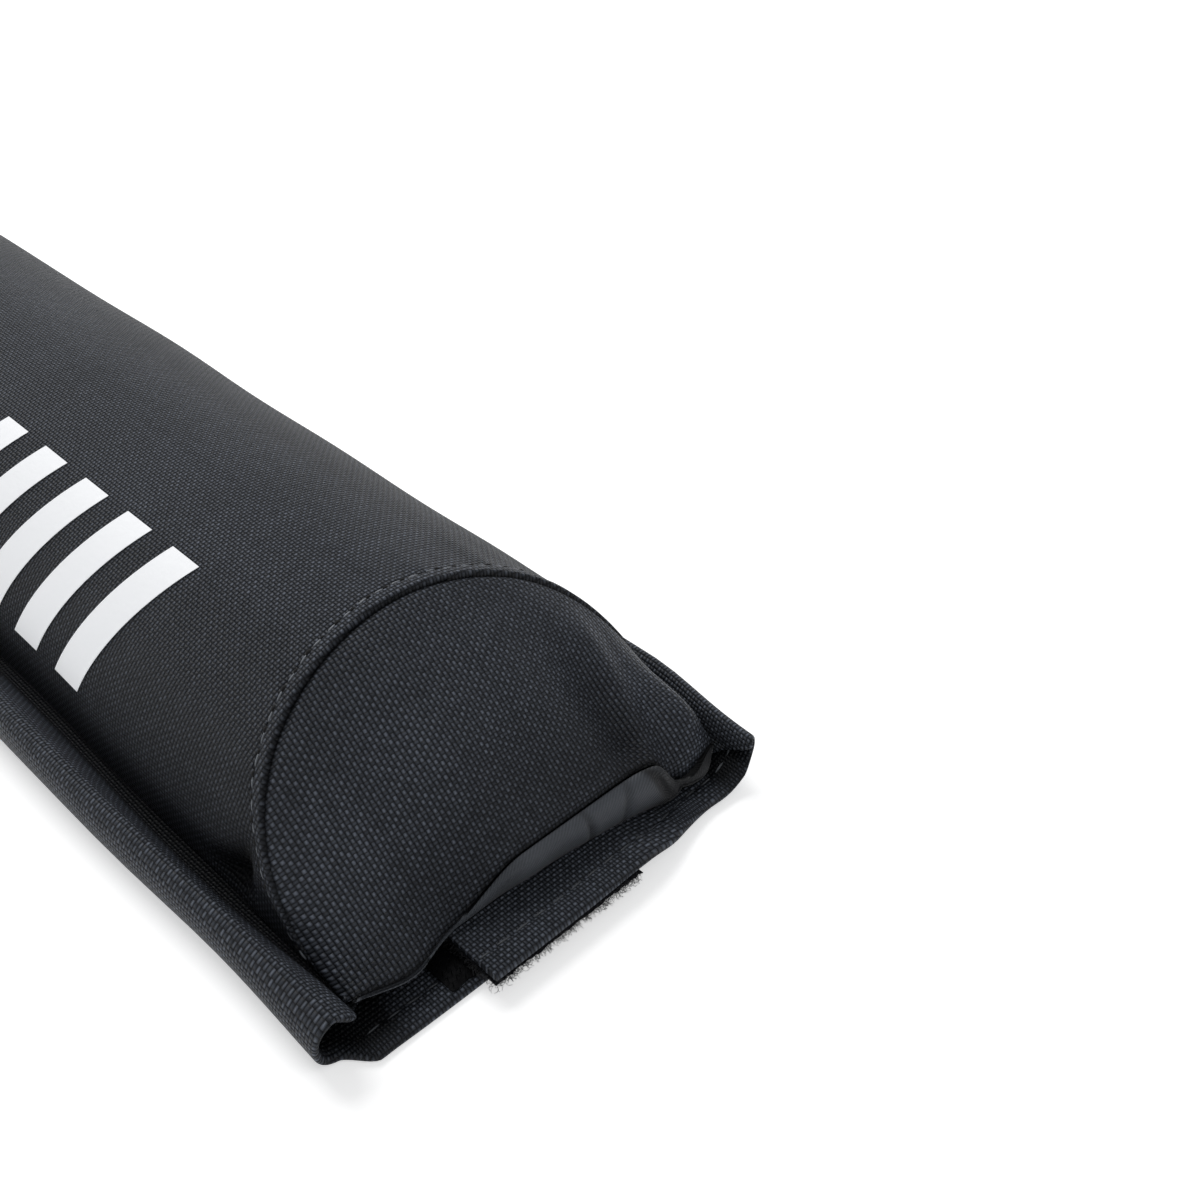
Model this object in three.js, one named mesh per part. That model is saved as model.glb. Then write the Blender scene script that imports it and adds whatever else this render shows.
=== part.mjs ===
import * as THREE from 'three';

// A roof rack pad: a long foam block with a D-shaped section in a sewn fabric cover.
// X runs along the pad, Y across it, Z up, in millimetres. The table is at z = 0.

// Driving sizes of the pad
const padLength = 675;
const padWidth = 96;
const padHeight = 46.8;
const endSlope = 41.5;
const cornerStep = 1;
const widthPower = 1.067;
const heightPower = 0.868;
const slopePower = 0.484;

// Fabric, tape and foam
const coverThickness = 0.8;
const liningThickness = 0.5;
const flapThickness = 1;
const hookTapeThickness = 1;
const loopTapeThickness = 1.4;
const tapeWidth = 38;
const clearance = 0.3;

// Sewn seam between the cover and each end panel
const bandWidth = 2.8;
const bandRise = 0.4;
const creaseDepth = 0.3;

// End panels: the arch of the bottom edge, the outward belly, one valley and one corner ear
const archHeight = 6;
const archFlat = 17;
const archRamp = 19;
const archShift = 6.5;
const earFlat = 19;
const earRamp = 10.5;
const panelBelly = 2;
const valleyDepth = 2.4;
const valleyPlace = 0.64;
const valleyTurn = 0.05;
const valleyWidth = 0.036;
const earRise = 3.2;
const earPlace = 0.85;
const earWidth = 0.1;
const lipBulge = 2;
const cornerSwell = 3.2;
const earSwell = 4.4;
const swellPlace = 36.5;
const swellWidth = 8;
const lowestFoot = 1.6;
const foamInset = 5;
const foamStep = 0.2;
const cornerTrim = 1.8;

// Flaps: how far they pass the pad's ends, free edges and the side folds
const loopFlapOverhang = 13.5;
const hookFlapOverhang = 9.5;
const loopFlapRecede = 3.8;
const hookFlapRecede = 5;
const hemWidth = 7;
const hemExtra = 0.4;
const hemEdge = 0.4;
const freeEdge = 25.5;
const tapeOffset = 6;
const rootRecede = 8;
const rootReach = 8;
const rollReach = 10;
const rollHeight = 12;
const foldReach = 4.2;
const foldHeight = 11.7;
const loopTapeInset = 0.8;

// Mesh fineness
const acrossSteps = 26;
const panelSteps = 7;
const curveSteps = 3;

const halfLength = padLength / 2;
const loopFlapLength = padLength + 2 * loopFlapOverhang;
const hookFlapLength = padLength + 2 * hookFlapOverhang;
const halfWidth = padWidth / 2;
const stackHeights = [flapThickness, hookTapeThickness, loopTapeThickness, flapThickness];
const baseHeight = stackHeights.reduce((sum, height) => sum + height + clearance, 0);
const hookTapeBase = flapThickness + clearance;
const loopTapeBase = hookTapeBase + hookTapeThickness + clearance;
const upperFlapMiddle = loopTapeBase + loopTapeThickness + clearance + flapThickness / 2;
const lowerFlapMiddle = flapThickness / 2;
const liningHalfWidth = halfWidth - coverThickness - clearance;
const foamGap = coverThickness + clearance;
const foamBase = baseHeight + liningThickness + clearance;

const vec = (x, y, z) => new THREE.Vector3(x, y, z);
const clamp01 = (value) => Math.min(1, Math.max(0, value));
const smooth = (value) => clamp01(value) ** 2 * (3 - 2 * clamp01(value));
const bell = (value, centre, width) => Math.exp(-(((value - centre) / width) ** 2));
const signedPower = (value, power) => Math.sign(value) * Math.abs(value) ** power;

// Angle round the section for a share across it, closer together at the two base edges
function sectionAngle(share) {
  const fromEdge = 1 - Math.abs(1 - 2 * share);
  const angle = (Math.PI / 2) * fromEdge ** 1.5;
  return share <= 0.5 ? angle : Math.PI - angle;
}

// Point of the D-shaped section and how far the seam lies back from the end there
function sectionPoint(share) {
  const angle = sectionAngle(share);
  const rise = Math.abs(Math.sin(angle));
  return {
    y: -halfWidth * signedPower(Math.cos(angle), widthPower),
    z: baseHeight + (padHeight - baseHeight) * rise ** heightPower,
    setBack: cornerStep + endSlope * rise ** slopePower,
    rise,
  };
}

// Bottom edge of an end panel; end is 1 at +X and -1 at -X. The arch falls fast on the ear's side
function panelFoot(share, end) {
  const y = -liningHalfWidth * Math.cos(Math.PI * share);
  const side = end * y - archShift;
  const away = clamp01(side > 0 ? (side - earFlat) / earRamp : (-side - archFlat) / archRamp);
  const arch = 0.5 * (1 + Math.cos(Math.PI * away));
  const swell = earSwell * bell(end * y, swellPlace, swellWidth)
    + cornerSwell * bell(-end * y, swellPlace, swellWidth);
  return vec(end * (halfLength + swell), y, baseHeight + lowestFoot + (archHeight - lowestFoot) * arch);
}

// How far the lining turns up to meet the foot of a panel, from 0 at a corner to 1
function lipFullness(foot) {
  return (foot.z - baseHeight - lowestFoot) / (archHeight - lowestFoot);
}

function panelPoint(share, down, end) {
  const section = sectionPoint(share);
  const top = vec(end * (halfLength - section.setBack), section.y, section.z);
  const point = top.lerp(panelFoot(share, end), down);
  const turned = end > 0 ? share : 1 - share;
  const belly = panelBelly * 4 * down * (1 - down) * section.rise;
  const valleyLine = bell(turned, valleyPlace + valleyTurn * down, valleyWidth);
  const valley = valleyDepth * valleyLine * smooth((down - 0.15) / 0.5);
  const ear = earRise * bell(turned, earPlace, earWidth) * Math.sin(Math.PI * down ** 1.25) ** 2;
  const push = belly + ear - valley * (1 - smooth((down - 0.85) / 0.15));
  return point.add(vec(end * 0.66, 0, 0.75).multiplyScalar(push));
}

// Lining turned up at the end, from the panel's foot down to the flat underside
const lipSteps = [
  { down: 0.35, out: 0.8, back: 2.4 },
  { down: 0.75, out: 1, back: 3.2 },
  { down: 1, out: 0.1, back: 4.2 },
];

function lipPoint(share, step, end) {
  const foot = panelFoot(share, end);
  const fullness = lipFullness(foot);
  const out = lipBulge * fullness * step.out - step.back * (1 - 0.7 * fullness);
  return vec(foot.x + end * out, foot.y, baseHeight + archHeight * fullness * (1 - step.down));
}

// Distances back from the seam where the cover has a row of points, and its rise there
const bandRows = [
  { back: 0, rise: -creaseDepth },
  { back: bandWidth * 0.25, rise: bandRise * 0.75 },
  { back: bandWidth * 0.65, rise: bandRise },
  { back: bandWidth, rise: -creaseDepth / 2 },
  { back: bandWidth * 1.35, rise: 0 },
];
const bodyShares = [0.9, 0.6, 0.3];

function bodyRow(x, share, rise) {
  const section = sectionPoint(share);
  const angle = sectionAngle(share);
  const lift = rise * smooth(section.rise / 0.25);
  return vec(x, section.y - lift * Math.cos(angle), section.z + lift * Math.sin(angle));
}

// One closed ring of points, along the crown, down an end, under the pad and up the other end
function meridian(share) {
  const reach = halfLength - sectionPoint(share).setBack;
  const points = [];
  const stations = [
    ...bandRows.map((row) => ({ x: reach - row.back, rise: row.rise })),
    ...bodyShares.map((part) => ({ x: reach * part, rise: 0 })),
  ];
  for (const station of stations) points.push(bodyRow(-station.x, share, station.rise));
  points.push(bodyRow(0, share, 0));
  for (const station of [...stations].reverse()) points.push(bodyRow(station.x, share, station.rise));
  const bodyEnd = points.length - 1;
  for (let i = 1; i <= panelSteps; i += 1) points.push(panelPoint(share, i / panelSteps, 1));
  const frontFoot = points.length - 1;
  for (const step of lipSteps) points.push(lipPoint(share, step, 1));
  for (const part of [0.5, 0, -0.5]) points.push(vec(part * halfLength, panelFoot(share, 1).y, baseHeight));
  for (const step of [...lipSteps].reverse()) points.push(lipPoint(share, step, -1));
  const rearFoot = points.length;
  for (let i = panelSteps; i >= 1; i -= 1) points.push(panelPoint(share, i / panelSteps, -1));
  return { points, bodyEnd, frontFoot, rearFoot };
}

const shares = Array.from({ length: acrossSteps + 1 }, (_, i) => i / acrossSteps);
const meridians = shares.map(meridian);
const rings = meridians.map((item) => item.points);
const { bodyEnd, frontFoot, rearFoot } = meridians[0];
const ringLength = rings[0].length;

// Outward normal of the skin at each point, lengthened so that both sides of a crease keep
// their thickness; side is -1 or 1 for the normal of the row before or after alone
function skinNormal(column, row, side = 0) {
  const ring = rings[column];
  const here = ring[row];
  const before = ring[(row + ringLength - 1) % ringLength];
  const after = ring[(row + 1) % ringLength];
  const left = rings[Math.max(0, column - 1)][row];
  const right = rings[Math.min(rings.length - 1, column + 1)][row];
  const across = right.clone().sub(left);
  const back = here.clone().sub(before).cross(across).normalize();
  const front = after.clone().sub(here).cross(across).normalize();
  if (side !== 0) return side < 0 ? back : front;
  const normal = back.clone().add(front).normalize();
  return normal.multiplyScalar(1 / Math.max(0.3, normal.dot(back)));
}

const normals = rings.map((ring, column) => ring.map((_, row) => skinNormal(column, row)));

// Mesh from triangles over a list of points, turned so that its volume is positive
function solidFromFaces(points, faces) {
  let volume = 0;
  for (const [a, b, c] of faces) volume += points[a].dot(points[b].clone().cross(points[c]));
  const geometry = new THREE.BufferGeometry();
  geometry.setAttribute('position', new THREE.Float32BufferAttribute(points.flatMap((p) => p.toArray()), 3));
  geometry.setIndex(faces.flatMap(([a, b, c]) => (volume > 0 ? [a, b, c] : [a, c, b])));
  geometry.computeVertexNormals();
  return geometry;
}

// Closed sheet between two grids of points of the same size
function sheetSolid(outer, inner) {
  const rows = outer.length;
  const columns = outer[0].length;
  const points = [...outer.flat(), ...inner.flat()];
  const at = (side, row, column) => side * rows * columns + row * columns + column;
  const faces = [];
  const quad = (a, b, c, d) => faces.push([a, b, c], [a, c, d]);
  for (let row = 0; row < rows - 1; row += 1) {
    for (let column = 0; column < columns - 1; column += 1) {
      quad(at(0, row, column), at(0, row, column + 1), at(0, row + 1, column + 1), at(0, row + 1, column));
      quad(at(1, row, column), at(1, row + 1, column), at(1, row + 1, column + 1), at(1, row, column + 1));
    }
  }
  for (let row = 0; row < rows - 1; row += 1) {
    quad(at(0, row, 0), at(0, row + 1, 0), at(1, row + 1, 0), at(1, row, 0));
    const last = columns - 1;
    quad(at(0, row, last), at(1, row, last), at(1, row + 1, last), at(0, row + 1, last));
  }
  for (let column = 0; column < columns - 1; column += 1) {
    quad(at(0, 0, column), at(1, 0, column), at(1, 0, column + 1), at(0, 0, column + 1));
    const end = rows - 1;
    quad(at(0, end, column), at(0, end, column + 1), at(1, end, column + 1), at(1, end, column));
  }
  return solidFromFaces(points, faces);
}

const isFoot = (row) => row === frontFoot || row === rearFoot;

function seamGap(point, row, isLining) {
  if (!isFoot(row)) return clearance / 2;
  return isLining ? clearance + cornerTrim * (1 - lipFullness(point)) : clearance;
}

// Part of the skin from one ring row to another, drawn back a little at each seam
function skinSheet(firstRow, lastRow, thickness, innerFloor) {
  const isLining = firstRow === frontFoot;
  const outer = [];
  const inner = [];
  for (let column = 0; column < rings.length; column += 1) {
    const outerLine = [];
    const innerLine = [];
    for (let row = firstRow; row <= lastRow; row += 1) {
      const point = rings[column][row % ringLength].clone();
      const side = row === firstRow ? 1 : -1;
      const normal = isFoot(row) ? skinNormal(column, row, side) : normals[column][row % ringLength];
      if (row === firstRow || row === lastRow) {
        const gap = seamGap(point, row, isLining);
        if (isLining) point.z = baseHeight + archHeight * lipFullness(point);
        const step = rings[column][(row + side) % ringLength].clone().sub(point);
        point.add(step.clone().setLength(Math.min(gap, 0.7 * step.length())));
      }
      point.z = Math.max(point.z, baseHeight);
      const inside = point.clone().addScaledVector(normal, -thickness);
      inside.z = Math.max(inside.z, innerFloor);
      outerLine.push(point);
      innerLine.push(inside);
    }
    outer.push(outerLine);
    inner.push(innerLine);
  }
  return sheetSolid(outer, inner);
}

// Foam block inside the skin, flat beneath and cut square along both sides
function foamLoop(column) {
  const ring = rings[column];
  const inside = (row) => ring[row].clone().addScaledVector(normals[column][row], -foamGap);
  const isBand = (row) => (row > 0 && row < 4) || (row > bodyEnd - 4 && row < bodyEnd);
  const endRows = (seamRow, footRow) => {
    const end = Math.sign(ring[footRow].x);
    const reach = halfLength - foamInset * (1 - 0.75 * lipFullness(ring[footRow]));
    const rows = [];
    for (let i = 1; i <= panelSteps; i += 1) {
      const point = inside(seamRow + Math.sign(footRow - seamRow) * i);
      point.x = end * Math.min(reach, end * point.x);
      point.z = Math.max(foamBase + foamStep * (panelSteps + 1 - i), point.z);
      rows.push(point);
    }
    rows.push(vec(end * (reach - foamStep), ring[footRow].y, foamBase));
    return rows;
  };
  return [
    ...ring.slice(0, bodyEnd + 1).map((_, row) => row).filter((row) => !isBand(row)).map(inside),
    ...endRows(bodyEnd, frontFoot),
    ...endRows(ringLength, rearFoot).reverse(),
  ];
}

function foamSolid() {
  const loops = [];
  for (let column = 2; column < rings.length - 2; column += 1) loops.push(foamLoop(column));
  const size = loops[0].length;
  const points = loops.flat();
  const faces = [];
  for (let i = 0; i < loops.length - 1; i += 1) {
    for (let k = 0; k < size; k += 1) {
      const next = (k + 1) % size;
      const [a, b] = [i * size + k, i * size + next];
      faces.push([a, b, b + size], [a, b + size, a + size]);
    }
  }
  for (const start of [0, (loops.length - 1) * size]) {
    const middle = points.length;
    const sum = points.slice(start, start + size).reduce((total, point) => total.add(point), vec(0, 0, 0));
    points.push(sum.divideScalar(size));
    for (let k = 0; k < size; k += 1) {
      const [a, b] = [start + k, start + ((k + 1) % size)];
      faces.push(start === 0 ? [middle, b, a] : [middle, a, b]);
    }
  }
  return solidFromFaces(points, faces);
}

// Fabric strip with a path for its section, run along X, with a hem at each end
function flapSolid(path, length, recede, hemShare, hemSide) {
  const curve = new THREE.CatmullRomCurve3(path.map(([y, z]) => vec(0, y, z)), false, 'centripetal');
  const line = curve.getPoints((path.length - 1) * curveSteps);
  line.forEach((point) => { point.z = Math.max(point.z, lowerFlapMiddle); });
  const stations = [
    { inset: 0, extra: 0.5, edge: 0.5 },
    { inset: hemEdge, extra: 1, edge: 1 },
    { inset: hemWidth - hemEdge, extra: 1, edge: 1 },
    { inset: hemWidth, extra: 0, edge: 1 },
  ];
  const upper = [];
  const lower = [];
  let run = 0;
  line.forEach((point, i) => {
    const before = line[Math.max(0, i - 1)];
    const after = line[Math.min(line.length - 1, i + 1)];
    const along = after.clone().sub(before).normalize();
    const normal = vec(0, -along.z, along.y).multiplyScalar(hemSide);
    if (i > 0) run += point.distanceTo(line[i - 1]);
    const half = length / 2 - recede(point) - rootRecede * (1 - smooth(run / rootReach));
    const rows = [
      ...stations.map((station) => ({ ...station, x: station.inset - half })),
      { x: 0, extra: 0, edge: 1 },
      ...[...stations].reverse().map((station) => ({ ...station, x: half - station.inset })),
    ];
    const place = (row, side, thickness) => (
      point.clone().addScaledVector(normal, side * thickness * row.edge).setX(row.x)
    );
    const hem = hemExtra * hemShare(point);
    upper.push(rows.map((row) => place(row, 1, flapThickness / 2 + hem * row.extra)));
    lower.push(rows.map((row) => place(row, -1, flapThickness / 2)));
  });
  return sheetSolid(upper, lower);
}

// The loop flap's overlap on the hook flap is as wide as a tape
const stepDown = tapeWidth - freeEdge;

// Hook-side flap: out of the left seam, over in an open roll, then flat on the table
const rootMiddle = baseHeight - clearance - flapThickness / 2;
const hookFlapPath = [
  [-halfWidth + 2.8, rootMiddle],
  [-halfWidth + 0.4, rootMiddle],
  [-halfWidth - 1.1, rootMiddle + 1],
  [-halfWidth - 1.6, rootMiddle + 3.6],
  [-halfWidth - 0.36 * rollReach, rollHeight - 1.1],
  [-halfWidth - 0.58 * rollReach, rollHeight - flapThickness / 2],
  [-halfWidth - 0.85 * rollReach, rollHeight - 2.6],
  [-halfWidth - rollReach + flapThickness / 2, rollHeight / 2],
  [-halfWidth - 0.84 * rollReach, lowerFlapMiddle + 1.5],
  [-halfWidth - 0.5 * rollReach, lowerFlapMiddle],
  [-halfWidth + 2, lowerFlapMiddle],
  [-freeEdge, lowerFlapMiddle],
  [stepDown, lowerFlapMiddle],
];

// Loop-side flap: out of the right seam, back under in a close fold, down to the table and up
// over the hook tape
const foldPeak = halfWidth + foldReach;
const loopFlapPath = [
  [halfWidth - 2.8, rootMiddle],
  [halfWidth - 0.1, rootMiddle],
  [halfWidth + 1.2, rootMiddle + 1],
  [foldPeak - 2, foldHeight - 3.4],
  [foldPeak - 1.2, foldHeight - 1.2],
  [foldPeak - 0.4, foldHeight - flapThickness / 2],
  [foldPeak + 0.4, foldHeight - 1.3],
  [foldPeak, foldHeight - 3.8],
  [foldPeak - 1.5, rootMiddle + 0.3],
  [foldPeak - 3.8, rootMiddle - 1.5],
  [halfWidth - 2.6, rootMiddle - 1.95],
  [halfWidth - 5.6, rootMiddle - 2.6],
  [halfWidth - 9, lowerFlapMiddle + 0.4],
  [halfWidth - 11.6, lowerFlapMiddle],
  [stepDown + 7.6, lowerFlapMiddle],
  [stepDown + 5.4, lowerFlapMiddle + 1.2],
  [stepDown + 3.2, upperFlapMiddle - 1],
  [stepDown + 0.6, upperFlapMiddle],
  [0, upperFlapMiddle],
  [-freeEdge, upperFlapMiddle],
];

const rollShare = (point) => smooth((-halfWidth - point.y) / (0.6 * rollReach));
const sideShare = (point) => smooth((point.y - stepDown) / 22);
const flatShare = (point) => smooth((halfWidth - 4 - point.y) / 5);

function tapeSolid(length, edge, base, thickness) {
  const tape = new THREE.BoxGeometry(length, tapeWidth, thickness, 8, 1, 1);
  return tape.translate(0, edge + tapeWidth / 2, base + thickness / 2);
}

const hookTapeLength = hookFlapLength - 2 * (hemWidth + 1);
const loopTapeLength = loopFlapLength - 2 * loopTapeInset;

function fabricMaterial(name, color, roughness) {
  return new THREE.MeshStandardMaterial({ name, color, roughness, metalness: 0 });
}

const pieces = {
  foam_core: [foamSolid(), fabricMaterial('foam', 0x3a3b3d, 0.95)],
  top_cover: [skinSheet(0, bodyEnd, coverThickness, baseHeight), fabricMaterial('cover_fabric', 0x2b2d31, 0.8)],
  end_panel_front: [
    skinSheet(bodyEnd, frontFoot, coverThickness, foamBase),
    fabricMaterial('panel_fabric_front', 0x2c2e32, 0.8),
  ],
  end_panel_rear: [
    skinSheet(rearFoot, ringLength, coverThickness, foamBase),
    fabricMaterial('panel_fabric_rear', 0x2c2e32, 0.8),
  ],
  base_lining: [
    skinSheet(frontFoot, rearFoot, liningThickness, baseHeight),
    fabricMaterial('lining_fabric', 0x46484c, 0.7),
  ],
  hook_flap: [
    flapSolid(hookFlapPath, hookFlapLength, (point) => hookFlapRecede * rollShare(point), () => 1, 1),
    fabricMaterial('hook_flap_fabric', 0x2a2c30, 0.8),
  ],
  loop_flap: [
    flapSolid(loopFlapPath, loopFlapLength, (point) => loopFlapRecede * sideShare(point), flatShare, -1),
    fabricMaterial('loop_flap_fabric', 0x2a2c30, 0.8),
  ],
  hook_tape: [
    tapeSolid(hookTapeLength, -freeEdge - tapeOffset, hookTapeBase, hookTapeThickness),
    fabricMaterial('hook_tape', 0x1c1d1f, 0.6),
  ],
  loop_tape: [
    tapeSolid(loopTapeLength, -freeEdge, loopTapeBase, loopTapeThickness),
    fabricMaterial('loop_tape', 0x232427, 0.95),
  ],
};

const pad = new THREE.Group();
pad.name = 'roof_rack_pad';
for (const [name, [geometry, material]] of Object.entries(pieces)) {
  const mesh = new THREE.Mesh(geometry, material);
  mesh.name = name;
  pad.add(mesh);
}

// The side rolls differ, so the whole pad is moved to stand centred on the origin
const middle = new THREE.Box3().setFromObject(pad).getCenter(new THREE.Vector3());
pad.children.forEach((mesh) => mesh.geometry.translate(0, -middle.y, 0));

export default pad;
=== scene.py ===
import math
import bpy
import numpy as np
from mathutils import Matrix, Vector


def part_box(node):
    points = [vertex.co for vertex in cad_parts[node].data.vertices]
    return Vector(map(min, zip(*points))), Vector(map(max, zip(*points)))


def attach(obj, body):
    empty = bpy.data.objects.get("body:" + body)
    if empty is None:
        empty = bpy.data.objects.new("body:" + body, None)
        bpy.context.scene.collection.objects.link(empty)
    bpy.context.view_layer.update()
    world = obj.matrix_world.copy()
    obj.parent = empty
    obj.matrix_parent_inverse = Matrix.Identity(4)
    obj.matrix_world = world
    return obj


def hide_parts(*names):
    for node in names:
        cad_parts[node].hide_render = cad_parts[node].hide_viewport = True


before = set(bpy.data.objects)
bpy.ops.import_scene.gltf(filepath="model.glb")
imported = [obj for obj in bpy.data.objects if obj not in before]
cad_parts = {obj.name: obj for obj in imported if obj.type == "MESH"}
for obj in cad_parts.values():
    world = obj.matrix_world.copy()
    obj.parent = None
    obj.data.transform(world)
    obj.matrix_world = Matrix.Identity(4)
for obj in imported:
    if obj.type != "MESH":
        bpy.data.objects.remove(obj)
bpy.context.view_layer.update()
scene = bpy.context.scene
mm = 0.001
print("frame loaded")

# the cover's box gives the middle, width and base of the pad; X runs along it
coverLow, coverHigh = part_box("top_cover")
pad = {
    "middleY": (coverLow[1] + coverHigh[1]) / 2,
    "halfWidth": (coverHigh[1] - coverLow[1]) / 2,
    "base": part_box("base_lining")[0][2],
    "crown": 46.8 * mm,
    "halfLength": 337.5 * mm,
    "endSlope": 41.5 * mm,
    "cornerStep": 1 * mm,
    "footInset": 1.1 * mm,
    "sharePower": 1.5,
    "widthPower": 1.067,
    "heightPower": 0.868,
    "slopePower": 0.484,
}

# camera at the photograph's angle; its place is from the near end's middle
cameraSettings = {
    "fromEnd": (131.3 * mm, -119.2 * mm, 206.6 * mm),
    "pitchDown": 37.68,
    "turn": 45.21,
    "roll": 0.746,
    "lens": 40.5,
    "sensor": 36.0,
}


def makeCamera(s):
    turn, pitch, roll = (math.radians(s[k]) for k in ("turn", "pitchDown", "roll"))
    ahead = Vector((-math.cos(turn) * math.cos(pitch), math.sin(turn) * math.cos(pitch), -math.sin(pitch)))
    right = ahead.cross(Vector((0, 0, 1))).normalized()
    up = right.cross(ahead)
    tiltedRight = right * math.cos(roll) + up * math.sin(roll)
    tiltedUp = up * math.cos(roll) - right * math.sin(roll)
    data = bpy.data.cameras.new("photoCamera")
    data.lens, data.sensor_width = s["lens"], s["sensor"]
    data.sensor_fit = "HORIZONTAL"
    data.clip_start, data.clip_end = 0.01, 20
    data.dof.use_dof = False
    camera = bpy.data.objects.new("photoCamera", data)
    turned = Matrix((tiltedRight, tiltedUp, -ahead)).transposed().to_4x4()
    fromEnd = Vector(s["fromEnd"]) + Vector((pad["halfLength"], pad["middleY"], 0))
    camera.matrix_world = Matrix.Translation(fromEnd) @ turned
    scene.collection.objects.link(camera)
    scene.camera = camera


makeCamera(cameraSettings)
print("camera placed")


# small maths used by every cloth piece
def smooth(value):
    value = np.clip(value, 0, 1)
    return value * value * (3 - 2 * value)


def ramp(value, start, width):
    return smooth((value - start) / width)


def bell(value, centre, width):
    return np.exp(-(((value - centre) / width) ** 2))


def unit(vectors):
    return vectors / np.maximum(np.linalg.norm(vectors, axis=-1, keepdims=True), 1e-12)


def onBase(grid, low):
    # the same points, none of them lower than the given height
    return np.concatenate([grid[..., :2], np.maximum(grid[..., 2:], low)], -1)


def roundRim(distance, radius, least):
    # share of the full thickness that is left at a distance from a rounded edge
    return np.sqrt(1 - (1 - np.clip(distance / radius, least, 1)) ** 2)


def joined(found):
    return [np.concatenate(parts) for parts in zip(*found)]


def ripple(a, b, seed, longest, shortest, waves=7):
    # smooth uneven waves over two lengths, from -1 to 1 or so
    rng = np.random.default_rng(seed)
    total = 0
    for _ in range(waves):
        size = math.exp(rng.uniform(math.log(shortest), math.log(longest)))
        way = rng.uniform(0, 2 * math.pi)
        start = rng.uniform(0, 2 * math.pi)
        total = total + np.sin((a * math.cos(way) + b * math.sin(way)) * 2 * math.pi / size + start)
    return total / math.sqrt(waves)


def gridNormals(grid):
    alongRows = np.gradient(grid, axis=0)
    alongColumns = np.gradient(grid, axis=1)
    return unit(np.cross(alongRows, alongColumns))


def runLength(line):
    # length from the first point of a line, or down each column of a grid
    steps = np.linalg.norm(np.diff(line, axis=0), axis=-1)
    return np.insert(np.cumsum(steps, axis=0), 0, 0, axis=0)


def shellPiece(name, outer, inner, uv, material, shade=None, innerShade=None):
    # closed cloth between two grids of points, with its own UV map in metres; shade is the painted shade at
    # each point, from 0 to 1, deepest in creases and hollows
    rows, columns = outer.shape[:2]
    count = rows * columns
    o = np.arange(count).reshape(rows, columns)
    i = o + count
    rim = np.concatenate([o[0, :-1], o[:-1, -1], o[-1, :0:-1], o[:0:-1, 0]])
    after = np.roll(rim, -1)
    quads = [
        np.stack([o[:-1, :-1], o[:-1, 1:], o[1:, 1:], o[1:, :-1]], -1).reshape(-1, 4),
        np.stack([i[:-1, :-1], i[1:, :-1], i[1:, 1:], i[:-1, 1:]], -1).reshape(-1, 4),
        np.stack([after, rim, rim + count, after + count], -1),
    ]
    faces = np.concatenate(quads)
    points = np.concatenate([outer.reshape(-1, 3), inner.reshape(-1, 3)])
    a, b, c, d = (points[faces[:, k]] for k in range(4))
    volume = np.einsum("ij,ij->", a, np.cross(b, c)) + np.einsum("ij,ij->", a, np.cross(c, d))
    if volume < 0:
        faces = faces[:, ::-1]
    mesh = bpy.data.meshes.new(name)
    mesh.from_pydata(points.tolist(), [], faces.tolist())
    layer = mesh.uv_layers.new(name="cloth")
    flatUv = np.concatenate([uv.reshape(-1, 2), uv.reshape(-1, 2)])
    layer.data.foreach_set("uv", flatUv[faces.ravel()].ravel())
    mesh.polygons.foreach_set("use_smooth", np.ones(len(faces), dtype=bool))
    mesh.set_sharp_from_angle(angle=math.radians(60))
    mesh.materials.append(material)
    if shade is not None:
        layer = mesh.attributes.new("shade", "FLOAT", "POINT")
        both = np.concatenate([shade.ravel(), (shade if innerShade is None else innerShade).ravel()])
        layer.data.foreach_set("value", np.clip(both, 0, 1).astype(np.float32))
    mesh.update()
    piece = bpy.data.objects.new(name, mesh)
    scene.collection.objects.link(piece)
    return piece


# node helpers: an input takes a plain value or a link from another node
def addNode(tree, kind, inputs=None, **settings):
    node = tree.nodes.new(kind)
    for key, value in settings.items():
        setattr(node, key, value)
    for key, value in (inputs or {}).items():
        if isinstance(value, bpy.types.NodeSocket):
            tree.links.new(value, node.inputs[key])
        else:
            node.inputs[key].default_value = value
    return node


def newMaterial(name, values):
    material = bpy.data.materials.new(name)
    material.use_nodes = True
    tree = material.node_tree
    tree.nodes.clear()
    shader = addNode(tree, "ShaderNodeBsdfPrincipled", values)
    addNode(tree, "ShaderNodeOutputMaterial", {"Surface": shader.outputs["BSDF"]})
    return material, tree, shader


def finishSurface(tree, shader, color, height, relief):
    bump = addNode(tree, "ShaderNodeBump", {"Height": height, "Distance": relief})
    tree.links.new(color, shader.inputs["Base Color"])
    tree.links.new(bump.outputs[0], shader.inputs["Normal"])


def maths(tree, operation, *values):
    return addNode(tree, "ShaderNodeMath", dict(enumerate(values)), operation=operation).outputs[0]


def mixNumbers(tree, factor, a, b):
    return addNode(tree, "ShaderNodeMix", {0: factor, 2: a, 3: b}, data_type="FLOAT").outputs[0]


def mixColors(tree, factor, a, b):
    a, b = ((*color, 1) if isinstance(color, tuple) else color for color in (a, b))
    return addNode(tree, "ShaderNodeMix", {0: factor, 6: a, 7: b}, data_type="RGBA").outputs[2]


def clothUv(tree):
    place = addNode(tree, "ShaderNodeUVMap", uv_map="cloth")
    apart = addNode(tree, "ShaderNodeSeparateXYZ", {0: place.outputs[0]})
    return apart.outputs[0], apart.outputs[1]


def paintedShade(tree):
    # painted shade stored on the mesh, from 0 to 1
    return addNode(tree, "ShaderNodeAttribute", attribute_name="shade").outputs["Fac"]


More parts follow.
